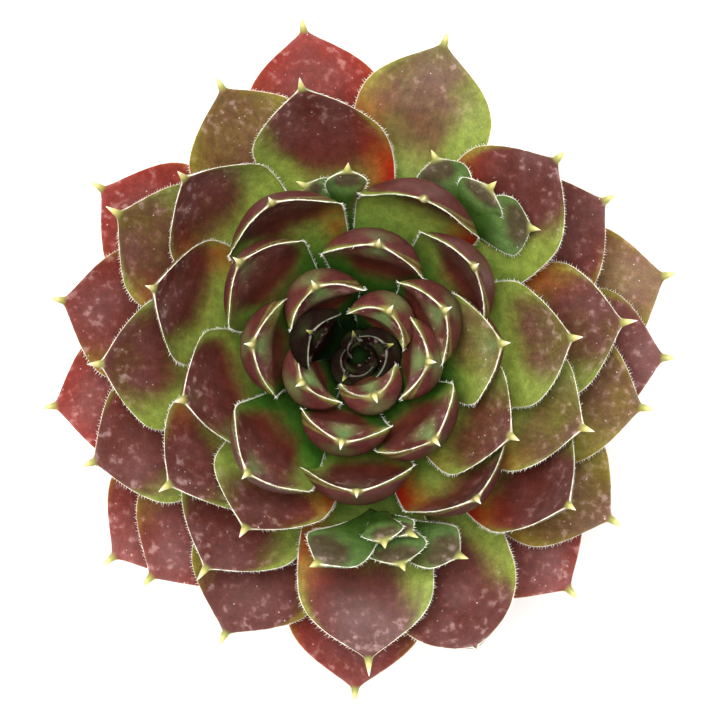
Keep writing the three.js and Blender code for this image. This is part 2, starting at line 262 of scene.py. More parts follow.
# Moist peat and loam: near black, crumbly and quite matt, with browner crumbs in it.
peat, nodes, surface = new_material("peat and loam, crumbled")
place = add(nodes, "ShaderNodeTexCoord").outputs["Object"]
crumbs = add(nodes, "ShaderNodeTexNoise", {"Vector": place, "Scale": 1 / (1.5 * MM), "Detail": 6.0})
browner = add(nodes, "ShaderNodeMapRange", [crumbs.outputs["Fac"], 0.35, 0.7], **SMOOTH).outputs[0]
body = add(
    nodes, "ShaderNodeMix", {0: browner, 6: linear("#1d140e"), 7: linear("#5a4331")}, **COLOUR
).outputs[2]
bump = add(nodes, "ShaderNodeBump", {"Height": crumbs.outputs["Fac"], "Strength": 0.9, "Distance": 0.5 * MM})
nodes.links.new(body, surface.inputs["Base Color"])
nodes.links.new(bump.outputs[0], surface.inputs["Normal"])
surface.inputs["Roughness"].default_value = 0.95

soil_profile = [(0, POT_FLOOR + FIT_GAP), (pot_bore(POT_FLOOR) - FIT_GAP, POT_FLOOR + FIT_GAP)]
for ring in range(SOIL_RINGS + 1):
    share = ring / SOIL_RINGS
    crown = SOIL_CROWN * math.sin(math.pi / 2 * share)
    soil_profile.append((mix(soil_radius, STEM_RADIUS + FIT_GAP, share), soil_z + crown))
soil_profile += [(ROOT_TIP_RADIUS + FIT_GAP, socket_foot_z), (0, socket_foot_z)]
vertices, faces = turned(soil_profile, POT_SEGMENTS)
lumpy = []
for x, y, z in vertices:
    radius = math.hypot(x, y)
    on_top = z > soil_z - 1 and STEM_RADIUS + 1 < radius < soil_radius - 0.5
    rise = noise.fractal(Vector((x, y, z)) / 3.5, 1.0, 2.0, 4) if on_top else 0
    lumpy.append((x, y, z + SOIL_ROUGHNESS * rise))
soil = mesh_piece("potting_soil", lumpy, faces, peat)
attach(soil, "root")
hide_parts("soil")

# Pumice and lava grit: dusty and matt, every stone its own shade from buff through grey to rust.
stone, nodes, surface = new_material("pumice and lava grit")
place = add(nodes, "ShaderNodeTexCoord").outputs["Object"]
shade = add(nodes, "ShaderNodeAttribute", attribute_name="stone_shade").outputs["Fac"]
pits = add(nodes, "ShaderNodeTexNoise", {"Vector": place, "Scale": 1 / (0.4 * MM), "Detail": 4.0})
greyer = add(nodes, "ShaderNodeMapRange", [shade, 0.1, 0.6], **SMOOTH).outputs[0]
body = add(
    nodes, "ShaderNodeMix", {0: greyer, 6: linear("#6d4a3a"), 7: linear("#8f8578")}, **COLOUR
).outputs[2]
buff = add(nodes, "ShaderNodeMapRange", [shade, 0.6, 0.95], **SMOOTH).outputs[0]
body = add(nodes, "ShaderNodeMix", {0: buff, 6: body, 7: linear("#cabda6")}, **COLOUR).outputs[2]
# Darker in the pits, where the bump is low: painted shade in them.
painted_pit_shade = add(nodes, "ShaderNodeMapRange", [pits.outputs["Fac"], 0.6, 0.4, 0.0, 0.4], **SMOOTH).outputs[0]
body = add(nodes, "ShaderNodeMix", {0: painted_pit_shade, 6: body, 7: linear("#3b2e26")}, **COLOUR).outputs[2]
bump = add(nodes, "ShaderNodeBump", {"Height": pits.outputs["Fac"], "Strength": 0.8, "Distance": 0.2 * MM})
nodes.links.new(body, surface.inputs["Base Color"])
nodes.links.new(bump.outputs[0], surface.inputs["Normal"])
surface.inputs["Roughness"].default_value = 0.9


def geometry_tree(name, sizes):
    """A Geometry Nodes tree with a mesh going in and out and its sizes as named inputs."""
    tree = bpy.data.node_groups.new(name, "GeometryNodeTree")
    tree.interface.new_socket("Geometry", in_out="INPUT", socket_type="NodeSocketGeometry")
    tree.interface.new_socket("Geometry", in_out="OUTPUT", socket_type="NodeSocketGeometry")
    for size, kind in sizes.items():
        tree.interface.new_socket(size, in_out="INPUT", socket_type=kind)
    return tree, tree.nodes.new("NodeGroupInput").outputs, tree.nodes.new("NodeGroupOutput").inputs


def grown(piece, tree, values):
    """The plain mesh that a tree makes on a piece, with its named inputs set."""
    modifier = piece.modifiers.new(tree.name, "NODES")
    modifier.node_group = tree
    for item in tree.interface.items_tree:
        if item.in_out == "INPUT" and item.name in values:
            modifier[item.identifier] = values[item.name]
    mesh = bpy.data.meshes.new_from_object(piece.evaluated_get(bpy.context.evaluated_depsgraph_get()))
    piece.modifiers.remove(modifier)
    return mesh


tree, given, result = geometry_tree(
    "loose grit",
    {
        "Stone size": "NodeSocketFloat",
        "Stones per square metre": "NodeSocketFloat",
        "Seed": "NodeSocketInt",
        "Stone": "NodeSocketMaterial",
    },
)
normal = add(tree, "GeometryNodeInputNormal").outputs[0]
upright = add(tree, "ShaderNodeSeparateXYZ", {0: normal}).outputs["Z"]
spot = add(tree, "GeometryNodeInputPosition").outputs[0]
height = add(tree, "ShaderNodeSeparateXYZ", {0: spot}).outputs["Z"]
on_top = add(
    tree, "FunctionNodeCompare", {0: height, 1: (soil_z - 1.5) * MM}, operation="GREATER_THAN"
).outputs[0]
facing_up = add(tree, "FunctionNodeCompare", {0: upright, 1: 0.5}, operation="GREATER_THAN").outputs[0]
both = add(tree, "FunctionNodeBooleanMath", {0: on_top, 1: facing_up}, operation="AND").outputs[0]
scatter = add(
    tree,
    "GeometryNodeDistributePointsOnFaces",
    {
        "Mesh": given["Geometry"],
        "Selection": both,
        "Density Max": given["Stones per square metre"],
        "Distance Min": 0.8 * MM,
        "Seed": given["Seed"],
    },
    distribute_method="POISSON",
)
sphere = add(tree, "GeometryNodeMeshUVSphere", {"Segments": 7, "Rings": 5, "Radius": 0.5})
random_turn = add(
    tree, "FunctionNodeRandomValue", {1: (math.tau, math.tau, math.tau)}, data_type="FLOAT_VECTOR"
)
tree.links.new(given["Seed"], random_turn.inputs["Seed"])
random_size = add(
    tree, "FunctionNodeRandomValue", {0: (0.45, 0.35, 0.3), 1: (1.0, 0.9, 0.7)}, data_type="FLOAT_VECTOR"
)
size = add(tree, "ShaderNodeVectorMath", {0: random_size.outputs[0]}, operation="SCALE")
tree.links.new(given["Stone size"], size.inputs["Scale"])
stones = add(
    tree,
    "GeometryNodeInstanceOnPoints",
    {
        "Points": scatter.outputs["Points"],
        "Instance": sphere.outputs[0],
        "Rotation": random_turn.outputs[0],
        "Scale": size.outputs[0],
    },
)
shades = add(tree, "FunctionNodeRandomValue", data_type="FLOAT")
shaded = add(
    tree,
    "GeometryNodeStoreNamedAttribute",
    {"Geometry": stones.outputs[0], "Name": "stone_shade", "Value": shades.outputs[1]},
    data_type="FLOAT",
    domain="INSTANCE",
)
real = add(tree, "GeometryNodeRealizeInstances", {0: shaded.outputs[0]})
rough = add(tree, "ShaderNodeTexNoise", {"Vector": spot, "Scale": 1 / (1.2 * MM)}, noise_dimensions="3D")
offset = add(
    tree, "ShaderNodeVectorMath", {0: rough.outputs["Color"], 1: (0.5, 0.5, 0.5)}, operation="SUBTRACT"
)
offset = add(tree, "ShaderNodeVectorMath", {0: offset.outputs[0], "Scale": 0.9 * MM}, operation="SCALE")
chipped = add(tree, "GeometryNodeSetPosition", {"Geometry": real.outputs[0], "Offset": offset.outputs[0]})
painted = add(tree, "GeometryNodeSetMaterial", {"Geometry": chipped.outputs[0], "Material": given["Stone"]})
tree.links.new(painted.outputs[0], result[0])

grit_values = {
    "Stone size": GRIT_SIZE * MM,
    "Stones per square metre": GRIT_PER_SQUARE_CM * 1e4,
    "Seed": GRIT_SEED,
    "Stone": stone,
}
grit = bpy.data.objects.new("grit", grown(soil, tree, grit_values))
grit.data.shade_flat()
bpy.context.scene.collection.objects.link(grit)
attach(grit, "root")

# ---- Stem --------------------------------------------------------------------------------------
# The short stock of the plant, as thick as a pencil, with its root in the soil. The leaves sit on
# it in a spiral and hide it.

# Live bark of a succulent's stock: tan and fibrous, with the scars of fallen leaves round it.
bark, nodes, surface = new_material("succulent stock, leaf-scarred")
place = add(nodes, "ShaderNodeTexCoord").outputs["Object"]
scars = add(nodes, "ShaderNodeTexVoronoi", {"Vector": place, "Scale": 1 / (2.2 * MM)})
between_scars = add(nodes, "ShaderNodeMapRange", [scars.outputs["Distance"], 0.1, 0.6], **SMOOTH).outputs[0]
body = add(
    nodes, "ShaderNodeMix", {0: between_scars, 6: linear("#5c4a2c"), 7: linear("#93824f")}, **COLOUR
).outputs[2]
bump = add(
    nodes,
    "ShaderNodeBump",
    {"Height": scars.outputs["Distance"], "Strength": 0.6, "Distance": 0.3 * MM},
)
nodes.links.new(body, surface.inputs["Base Color"])
nodes.links.new(bump.outputs[0], surface.inputs["Normal"])
surface.inputs["Roughness"].default_value = 0.8

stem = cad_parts["stem"]
stem.data.materials.clear()
stem.data.materials.append(bark)

# ---- Leaves ------------------------------------------------------------------------------------
# Thick, water-storing leaves, flat above and rounded below, widest near the end and drawn out into
# a horny spine. They grow from the stock in a spiral of the golden angle. Each lies on a bowl, a
# surface turned about the plant's axis, and the bowls of younger leaves stand steeper.

LEAF_COUNT = 62
BUD_LEAF_COUNT = 4
LEAF_WIDTH = 20.5
LEAF_THICKNESS = 2.6
SPINE_LENGTH = 2.4
SPINE_WIDTH = 1.1  # at its foot
SPINE_THICKNESS = 0.9
ROSETTE_RADIUS = 48.5
STEM_TIP_RADIUS = 1.1
LEAF_RISE = 0.338  # from one leaf to the next, along the stock
CLASP_LENGTH = 8  # over which the foot opens from the round stock to the flat blade
UPPER_SHARE = 0.4  # of the thickness that lies above the margins
WIDEST_AT = 0.72
YOUNG_WIDEST_AT = 0.8
MARGIN_BEAD = 0.22  # thickness of the blade's edge
LEAF_ROWS = 48
SPINE_ROWS = 8
LEAF_SIDE_POINTS = 22  # from margin to margin, on the upper face and again on the lower one
WAVE_HEIGHT = 0.25
HOOD = 0.22  # how steeply the flanks near the tip stand up
TWIST = 0.12  # how far a leaf may lean over to one side
KEEL = 1.5  # how much rounder the young leaves are below
CUSHION = 1.5  # and above
# Degrees by which the end of a leaf bends up further than its bowl: much in the heart, where the
# leaves close over one another, and little in the old leaves; then how single leaves differ.
HEART_HOOK = 10
OLD_HOOK = 8
LEAF_HOOKS = {
    13: 18, 15: -10, 16: 10, 17: 28, 18: 30, 20: -4, 21: 30, 22: -6, 23: -6, 24: 14, 25: 36,
    26: 56, 27: -4, 29: 16, 30: -26, 31: -8, 33: 30, 34: 16, 37: 6, 39: -14,
}
SPINE_RECURVE = 50  # degrees by which the spine bends back out
# Millimetres by which a leaf that is still curved up ends further in than its flatter CAD leaf, which
# fades out in the oldest ones; the few that plainly end elsewhere; and how far a tip is drawn to one
# side, counter-clockwise positive.
DRAWN_IN = 1
LEAF_REACHES = {14: 3, 20: -1, 26: -2, 35: -1, 38: 2, 42: 1, 54: 1}
LEAF_SWAYS = {34: 2.2}
LEAF_BOWLS = {46: 45.6, 49: 51}  # of the two leaves that stand closer than the spiral gives
SPINELESS_LEAVES = {38}
WORN_SPINE_LENGTH = 0.7  # what such a leaf keeps of its spine
NO_HORN = 3  # millimetres by which the horn is moved out past the end of the leaf
# The side that reddens and the one that stays green, where it shows: 1 if the counter-clockwise side
# is the red one, 0 if the clockwise one is.
RED_SIDES = {22: 1, 25: 0, 29: 1, 31: 1, 33: 0, 34: 0, 36: 1, 38: 0, 39: 1, 40: 0, 55: 0}

crown_foot_z = POT_HEIGHT + 0.5 * LEAF_THICKNESS
crown_height = LEAF_RISE * LEAF_COUNT


def ramp(value, start, end):
    """0 below the start, 1 above the end, smooth between."""
    share = np.clip((value - start) / (end - start), 0, 1)
    return share * share * (3 - 2 * share)


def tip_radius(order):
    """How far from the axis the tip of a leaf comes on the even spiral."""
    share = (order + 2.8) / 40.5
    return ROSETTE_RADIUS * share / (1 + share**5) ** 0.2


def bowl_of(order):
    """The foot and the bend of the bowl that a leaf lies on. The youngest leaf has order 0."""
    age = order / LEAF_COUNT
    radius = mix(STEM_TIP_RADIUS, STEM_RADIUS, age**0.8) + FIT_GAP
    lean = math.radians(2 + 58 * math.exp(-order / 14))
    tip_lean = math.radians(12 + 92 * (1 - ramp(order, -14, 58)))
    reach = tip_radius(order) - radius
    length = reach * (tip_lean - lean) / (math.sin(tip_lean) - math.sin(lean))
    foot_z = crown_foot_z + crown_height * (1 - age)
    bend = (tip_lean - lean) / length
    return {"radius": radius, "z": foot_z, "lean": lean, "bend": bend, "length": length}


def profile_of(bowl, length, hook, start=0):
    """The profile that a leaf follows as a table: way along it, radius, height and angle."""
    bend = bowl["bend"] if start else bowl["bend"] * bowl["length"] / (length + SPINE_LENGTH)
    length = start + length
    along = np.linspace(0, length + 6, 400)
    angle = bowl["lean"] + bend * along
    angle = angle + math.radians(hook) * ramp(along / length, 0.45, 0.95)
    angle = angle - math.radians(SPINE_RECURVE) * ramp(angle, 1.0, 1.8) * ramp(along / length, 0.96, 1.1)
    step = along[1]
    middle = (angle[1:] + angle[:-1]) / 2
    radius = bowl["radius"] + np.concatenate([[0], np.cumsum(np.cos(middle)) * step])
    z = bowl["z"] + np.concatenate([[0], np.cumsum(np.sin(middle)) * step])
    return along, radius, z, angle


def outline(share, youth, blunt):
    """Half of the blade's width at a share of its length, for a blade one wide.

    A blunt blade ends in a round curve and the others in a point.
    """
    widest_at = mix(WIDEST_AT, YOUNG_WIDEST_AT, youth)
    to_widest = np.sin(np.pi / 2 * np.clip(share / widest_at, 0, 1))
    to_tip = np.clip((share - widest_at) / (1 - widest_at), 0, 1)
    foot = to_widest ** mix(1.6, 2.6, youth)
    tip = (1 - to_tip ** mix(2.8, 1.9, youth)) ** (0.6 if blunt else mix(1.35, 1.15, youth))
    return np.where(share < widest_at, mix(0.42, 1, foot), tip) / 2


def leaf_solid(
    order, turn, length, width, thickness, spine=SPINE_LENGTH, hook=0, start=0, heading=0, sway=0,
    blunt=False, seed=0, redness=0, olive=0,
):
    """A leaf as vertices in millimetres, faces, the values that its skin reads, and its margins.

    `start` and `heading` lay the leaves of an offset: how far out on the bowl the foot is, and where
    the leaf points, with 0 away from the stock. `sway` draws the tip to one side of the blade, which
    turns the other way, so that the tip stays where it is.
    """
    bowl = bowl_of(order)
    table_along, table_radius, table_z, table_angle = profile_of(bowl, length, hook, start)
    turn = turn - math.degrees(sway / np.interp(length, table_along, table_radius))
    chance = random.Random(seed)
    twist = chance.uniform(-TWIST, TWIST)
    phases = [chance.uniform(0, math.tau) for _ in range(3)]

    def lay(u, v, h):
        """Points of the flat leaf, u along it, v across it and h above it, laid on the bowl."""
        way = math.radians(heading)
        v = v + sway * ramp(u / length, 0.5, 1.05)
        s = start + u * math.cos(way) - v * math.sin(way)
        across = u * math.sin(way) + v * math.cos(way)
        angle = np.interp(s, table_along, table_angle)
        radius = np.interp(s, table_along, table_radius)
        slope = np.maximum(0.05, np.abs(np.cos(angle)))
        to_apex = radius / slope
        shift = (np.hypot(to_apex, across) - to_apex) * np.sign(np.cos(angle))
        s = s + shift * ramp(s, 0, CLASP_LENGTH)
        angle = np.interp(s, table_along, table_angle)
        around = math.radians(turn) + np.arctan2(across, to_apex) / slope
        radius = np.interp(s, table_along, table_radius) - h * np.sin(angle)
        z = np.interp(s, table_along, table_z) + h * np.cos(angle)
        return np.stack([radius * np.cos(around), radius * np.sin(around), z], axis=-1)

    rows = 1 - (1 - np.linspace(0, 1, LEAF_ROWS)) ** 1.35
    u = np.concatenate([rows * length, length + spine * np.linspace(0, 1, SPINE_ROWS + 1)[1:-1]])
    share = u / length
    beyond = np.clip((u - length) / spine, 0, 1)
    spine_half = SPINE_WIDTH / 2 * (1 - beyond) ** 0.9 * ramp(share, 0.8, 1)
    youth = 1 - float(ramp(order, 8, 26))
    half = np.hypot(width * outline(share, youth, blunt), spine_half)
    full = thickness * mix(0.4, 1, ramp(share, 0, 0.45))
    full = mix(full, SPINE_THICKNESS * (1 - beyond) ** 0.9, ramp(share, 0.74, 1))
    turns = 2 * LEAF_SIDE_POINTS
    ring = 2 * np.pi * np.arange(turns) / turns
    x, lift = np.cos(ring), np.sin(ring)
    x_grid, share_grid = np.meshgrid(x, share)
    u_grid = np.repeat(u[:, None], turns, axis=1)
    side = np.where(lift > 0, UPPER_SHARE, 1 - UPPER_SHARE)
    bead = MARGIN_BEAD / 2 * (1 - ramp(share, 0.95, 1.1))
    h = full[:, None] * side * lift * np.abs(lift) + bead[:, None] * lift
    plump = youth * ramp(share, 0.1, 0.55) * (1 - ramp(share, 0.78, 1.0)) * min(1, length / 12)
    h = h - plump[:, None] * np.where(lift < 0, KEEL * lift**2, -CUSHION * lift**2)
    raised = HOOD * ramp(share, 0.4, 0.92) * (1 - ramp(share, 1.0, 1.15))
    lean_over = twist * ramp(share, 0.3, 0.8)
    wave = WAVE_HEIGHT * ramp(share, 0.2, 0.6) * (1 - ramp(share, 0.85, 1))
    bend = half[:, None] * (raised[:, None] * x_grid**2 + lean_over[:, None] * x_grid)
    ripple = np.sin(u_grid / 3.1 + phases[0]) * np.sin(half[:, None] * x_grid / 2.3 + phases[1])
    bend = bend + wave[:, None] * ripple
    points = lay(u_grid, half[:, None] * x_grid, h + bend)
    tip = lay(np.array([length + spine]), np.array([0.0]), np.array([0.0]))
    vertices = np.concatenate([points.reshape(-1, 3), tip])

    faces = []
    row_count = len(u)
    for row in range(row_count - 1):
        for i in range(turns):
            a = row * turns + i
            b = row * turns + (i + 1) % turns
            faces.append((a, b, b + turns, a + turns))
    last = (row_count - 1) * turns
    faces += [(last + i, last + (i + 1) % turns, len(vertices) - 1) for i in range(turns)]
    for i in range(LEAF_SIDE_POINTS):  # the foot's end follows the round stock
        above = [i, i + 1]
        below = [(turns - i) % turns, turns - i - 1]
        corners = [above[1], above[0], below[0], below[1]]
        faces.append(tuple(dict.fromkeys(corners)))

    # What the skin reads: where on the blade a point is, and how each tint lies on it.
    margin = half[:, None] * (1 - np.abs(x_grid))
    under = np.where(lift < -0.01, 1.0, 0.0) * np.ones_like(x_grid)
    values = {
        "blade": np.stack([x_grid, share_grid, under], axis=-1).reshape(-1, 3),
        "edge": np.stack([margin, u_grid - length, np.full_like(x_grid, redness)], axis=-1),
        "habit": np.tile([order / LEAF_COUNT, chance.random(), olive], (x_grid.size, 1)),
    }
    values["edge"] = values["edge"].reshape(-1, 3)
    ends = {"blade": [0, share[-1] * 1.02, 0], "edge": [0, spine, redness], "habit": values["habit"][0]}
    values = {name: np.vstack([value, ends[name]]) for name, value in values.items()}

    hairy = (share > 0.25) & (share < 0.97)
    margins = []
    for sign in (1, -1):
        column = 0 if sign > 0 else LEAF_SIDE_POINTS
        edge = lay(u[hairy], sign * half[hairy], bend[hairy, column])
        outer = lay(u[hairy] + 0.25, sign * (half[hairy] + 0.5), bend[hairy, column] + 0.05)
        margins.append((edge, outer - edge))
    return vertices, faces, values, margins


def leaf_piece(name, solids, material):
    """One mesh object from one or several leaves."""
    vertices = np.vstack([solid[0] for solid in solids])
    faces = []
    first = 0
    for solid in solids:
        faces += [tuple(first + corner for corner in face) for face in solid[1]]
        first += len(solid[0])
    piece = mesh_piece(name, vertices, faces, material)
    for value in ("blade", "edge", "habit"):
        layer = piece.data.attributes.new(value, "FLOAT_VECTOR", "POINT")
        layer.data.foreach_set("vector", np.vstack([s[2][value] for s in solids]).astype(np.float32).ravel())
    return piece


def where(tree, *ramps):
    """How strongly a tint lies on the skin: the product of smooth ramps.

    Each ramp is a value, where it starts and ends, and what it then runs from and to.
    """
    share = 1.0
    for inputs in ramps:
        step = add(tree, "ShaderNodeMapRange", inputs, **SMOOTH).outputs[0]
        share = add(tree, "ShaderNodeMath", [share, step], operation="MULTIPLY").outputs[0]
    return share


def leaf_skin(name, foot, flank, blush, old_blush, red_and_lit_through, lower, bloom_amount):
    """The waxy, translucent skin of a leaf, from the colours of its parts and the painted light and shade on
    it.
    """
    material, nodes, surface = new_material(name)
    place = add(nodes, "ShaderNodeTexCoord").outputs["Object"]
    blade = add(nodes, "ShaderNodeAttribute", attribute_name="blade").outputs["Vector"]
    across, along, under = add(nodes, "ShaderNodeSeparateXYZ", [blade]).outputs
    edge = add(nodes, "ShaderNodeAttribute", attribute_name="edge").outputs["Vector"]
    margin, beyond, redness = add(nodes, "ShaderNodeSeparateXYZ", [edge]).outputs
    habit = add(nodes, "ShaderNodeAttribute", attribute_name="habit").outputs["Vector"]
    age, lot, olive = add(nodes, "ShaderNodeSeparateXYZ", [habit]).outputs

    # Mottling 5 mm across, clusters of cells at 1.3 mm, the fine grain of the skin, and faint streaks
    # that run along the blade.
    patterns = []
    for size, detail in ((5, 5.0), (1.3, 4.0), (0.35, 3.0)):
        inputs = {"Vector": place, "Scale": 1 / (size * MM), "Detail": detail}
        patterns.append(add(nodes, "ShaderNodeTexNoise", inputs).outputs["Fac"])
    mottle, cells, grain = patterns
    stretched = add(nodes, "ShaderNodeMapping", {"Vector": blade, "Scale": (16.0, 1.6, 0.0)}).outputs[0]
    streak_inputs = {"Vector": stretched, "Scale": 1.0, "Detail": 3.0}
    streak = add(nodes, "ShaderNodeTexNoise", streak_inputs).outputs["Fac"]
    uneven = add(nodes, "ShaderNodeMath", [mottle, 0.5], operation="SUBTRACT").outputs[0]
    streaky = add(nodes, "ShaderNodeMath", [streak, 0.5], operation="SUBTRACT").outputs[0]
    from_middle = add(nodes, "ShaderNodeMath", [across], operation="ABSOLUTE").outputs[0]

    # One flank stays greener and the other turns red; which one is chance.
    chosen_side = add(nodes, "ShaderNodeMath", [lot, 0.5], operation="GREATER_THAN").outputs[0]
    flip = add(nodes, "ShaderNodeMath", [chosen_side, 2.0, -1.0], operation="MULTIPLY_ADD").outputs[0]
    side = add(nodes, "ShaderNodeMath", [across, flip], operation="MULTIPLY").outputs[0]

    # Green at the foot and yellower towards the widest place.
    youngest = add(nodes, "ShaderNodeMapRange", [age, 0.4, 0.1], **SMOOTH).outputs[0]
    greener = add(nodes, "ShaderNodeMath", [youngest, -0.3, along], operation="MULTIPLY_ADD").outputs[0]
    yellow = add(nodes, "ShaderNodeMapRange", [greener, 0.3, 0.65], **SMOOTH).outputs[0]
    green = add(nodes, "ShaderNodeMix", {0: yellow, 6: linear(foot), 7: linear(flank)}, **COLOUR).outputs[2]

    # A dark blush from there to the tip. It starts nearer the foot in young and in old leaves, and is
    # thinner on the flanks, near the margins and in leaves that stay olive.
    young_start = add(nodes, "ShaderNodeMapRange", [age, 0.5, 0.15, 0.0, 0.2], **SMOOTH).outputs[0]
    old_start = add(nodes, "ShaderNodeMapRange", [age, 0.35, 0.6, 0.0, 0.14], **SMOOTH).outputs[0]
    early = add(nodes, "ShaderNodeMath", [young_start, old_start], operation="MAXIMUM").outputs[0]
    reached = add(nodes, "ShaderNodeMath", [early, along], operation="ADD").outputs[0]
    blushed = add(nodes, "ShaderNodeMapRange", [reached, 0.53, 0.86], **SMOOTH).outputs[0]
    green_flank = where(nodes, [side, -0.2, -0.95], [along, 1.0, 0.65])
    other_flank = where(nodes, [side, 0.5, 1.0, 0.0, 0.5], [along, 0.95, 0.7])
    rim_green = where(nodes, [margin, 1.6, 0.2], [along, 0.98, 0.8, 0.0, 0.55])
    changes = [
        (green_flank, -1.1), (other_flank, -1.0), (rim_green, -1.0), (uneven, 0.55), (streaky, 0.22),
        (olive, -0.45),
    ]
    for share, amount in changes:
        inputs = [share, amount, blushed]
        blushed = add(nodes, "ShaderNodeMath", inputs, operation="MULTIPLY_ADD").outputs[0]
    aged = add(nodes, "ShaderNodeMapRange", [age, 0.45, 1.0], **SMOOTH).outputs[0]
    dark = add(
        nodes, "ShaderNodeMix", {0: aged, 6: linear(blush), 7: linear(old_blush)}, **COLOUR
    ).outputs[2]
    full_blush = add(nodes, "ShaderNodeMapRange", [blushed, 0.0, 0.9], **SMOOTH).outputs[0]
    upper = add(nodes, "ShaderNodeMix", {0: full_blush, 6: green, 7: dark}, **COLOUR).outputs[2]

    # Orange-red painted light where the light comes through the other shoulder; a red old leaf's own red all
    # through it, painted brighter towards the thin margins as light coming through; a grey-mauve bloom of
    # wax near the tip with paler scurf, and white specks where it has gathered.
    one_sided = add(nodes, "ShaderNodeMath", [lot, 2.0, -1.0], operation="MULTIPLY_ADD").outputs[0]
    contrast = add(nodes, "ShaderNodeMath", [one_sided], operation="ABSOLUTE").outputs[0]
    patchy = add(nodes, "ShaderNodeMath", [mottle, contrast], operation="ADD").outputs[0]
    lit_through_shoulder = where(nodes, [side, 0.35, 0.95], [along, 0.95, 0.55], [patchy, 0.7, 1.3], [age, 0.2, 0.4])
    thin_edge = add(nodes, "ShaderNodeMapRange", [margin, 8.0, 0.0, 0.35, 1.0], **SMOOTH).outputs[0]
    glow = add(nodes, "ShaderNodeMath", [redness, thin_edge], operation="MULTIPLY").outputs[0]
    bloom = where(nodes, [along, 0.6, 1.0], [mottle, 0.2, 0.9, 0.0, bloom_amount])
    scurf = where(nodes, [cells, 0.54, 0.72], [along, 0.72, 0.95, 0.0, 0.3])
    specks = add(nodes, "ShaderNodeTexVoronoi", {"Vector": place, "Scale": 1 / (0.8 * MM)}).outputs
    chosen = add(nodes, "ShaderNodeSeparateColor", [specks["Color"]]).outputs[0]
    speck = where(
        nodes, [specks["Distance"], 0.16, 0.08], [along, 0.6, 0.95], [chosen, 0.72, 0.95, 0.0, 0.55]
    )
    tints = [
        (lit_through_shoulder, red_and_lit_through), (glow, red_and_lit_through), (bloom, "#9a7f7e"), (scurf, "#b39a96"), (speck, "#f2e4e0"),
    ]
    for share, tint in tints:
        upper = add(nodes, "ShaderNodeMix", {0: share, 6: upper, 7: linear(tint)}, **COLOUR).outputs[2]

    # The underside is redder along the middle and green at the foot.
    to_tip = add(nodes, "ShaderNodeMapRange", [along, 0.35, 0.75], **SMOOTH).outputs[0]
    flanks = add(nodes, "ShaderNodeMapRange", [from_middle, 0.6, 1.0, 0.0, 0.5], **SMOOTH).outputs[0]
    pink = add(nodes, "ShaderNodeMath", [to_tip, flanks], operation="SUBTRACT").outputs[0]
    pink = add(nodes, "ShaderNodeMath", [streaky, 0.9, pink], operation="MULTIPLY_ADD").outputs[0]
    pink = add(nodes, "ShaderNodeMapRange", [pink, 0.2, 0.8], **SMOOTH).outputs[0]
    below = add(nodes, "ShaderNodeMix", {0: pink, 6: linear(flank), 7: linear(lower)}, **COLOUR).outputs[2]
    past_foot = add(nodes, "ShaderNodeMapRange", [along, 0.3, 0.55], **SMOOTH).outputs[0]
    below = add(nodes, "ShaderNodeMix", {0: past_foot, 6: linear(foot), 7: below}, **COLOUR).outputs[2]
    colour = add(nodes, "ShaderNodeMix", {0: under, 6: upper, 7: below}, **COLOUR).outputs[2]

    # Young leaves get painted shade, near black, on the lower part of the blade, deep in the heart and down
    # between the leaves; they have a green rib that runs out into the spine, mostly on the upper face.
    shaded = where(nodes, [along, 0.55, 0.15], [age, 0.45, 0.15])
    rib = where(
        nodes,
        [from_middle, 0.55, 0.05],
        [beyond, -5.5, -0.5],
        [age, 0.35, 0.15, 0.0, 0.9],
        [age, 0.04, 0.08, 0.15, 1.0],
    )
    mostly_upper = add(nodes, "ShaderNodeMath", [under, -0.5, 1.0], operation="MULTIPLY_ADD").outputs[0]
    rib = add(nodes, "ShaderNodeMath", [rib, mostly_upper], operation="MULTIPLY").outputs[0]
    for share, tint in ((shaded, "#0e1c08"), (rib, "#66804a")):
        colour = add(nodes, "ShaderNodeMix", {0: share, 6: colour, 7: linear(tint)}, **COLOUR).outputs[2]
    tone = where(nodes, [grain, 0.2, 0.8, 0.82, 1.16], [cells, 0.25, 0.75, 0.8, 1.2])
    toned = add(nodes, "ShaderNodeCombineColor", [tone, tone, tone]).outputs[0]
    tone_inputs = {0: 1.0, 6: colour, 7: toned}
    colour = add(nodes, "ShaderNodeMix", tone_inputs, blend_type="MULTIPLY", **COLOUR).outputs[2]

    # The margin is a colourless line, broken here and there, painted brighter as light shining through it
    # and dimmed in the young leaves of the heart as painted shade; the spine is horn.
    near_edge = add(nodes, "ShaderNodeMath", [mottle, -0.3, margin], operation="MULTIPLY_ADD").outputs[0]
    line = where(
        nodes,
        [near_edge, 0.02, -0.1],
        [along, 0.2, 0.45],
        [cells, 0.35, 0.6, 0.4, 1.0],
        [age, 0.5, 0.9, 1.0, 0.45],
        [age, 0.02, 0.12, 0.12, 1.0],
    )
    layers = [(line, "#dfdcc4")]
    for start, end, tint in ((-0.8, 0.2, "#8b8c4b"), (0.0, 1.0, "#c4ba7c"), (1.0, 2.0, "#ebe2c4")):
        layers.append((add(nodes, "ShaderNodeMapRange", [beyond, start, end], **SMOOTH).outputs[0], tint))
    for share, tint in layers:
        colour = add(nodes, "ShaderNodeMix", {0: share, 6: colour, 7: linear(tint)}, **COLOUR).outputs[2]
    bump = add(nodes, "ShaderNodeBump", {"Height": grain, "Strength": 0.3, "Distance": 0.06 * MM})
    nodes.links.new(colour, surface.inputs["Base Color"])
    nodes.links.new(bump.outputs[0], surface.inputs["Normal"])
    surface.inputs["Roughness"].default_value = 0.45
    surface.inputs["IOR"].default_value = 1.4
    surface.inputs["Specular IOR Level"].default_value = 0.22
    surface.inputs["Subsurface Weight"].default_value = 0.3
    surface.inputs["Subsurface Radius"].default_value = (1.0, 0.4, 0.15)
    surface.inputs["Subsurface Scale"].default_value = 1.2 * MM
    return material


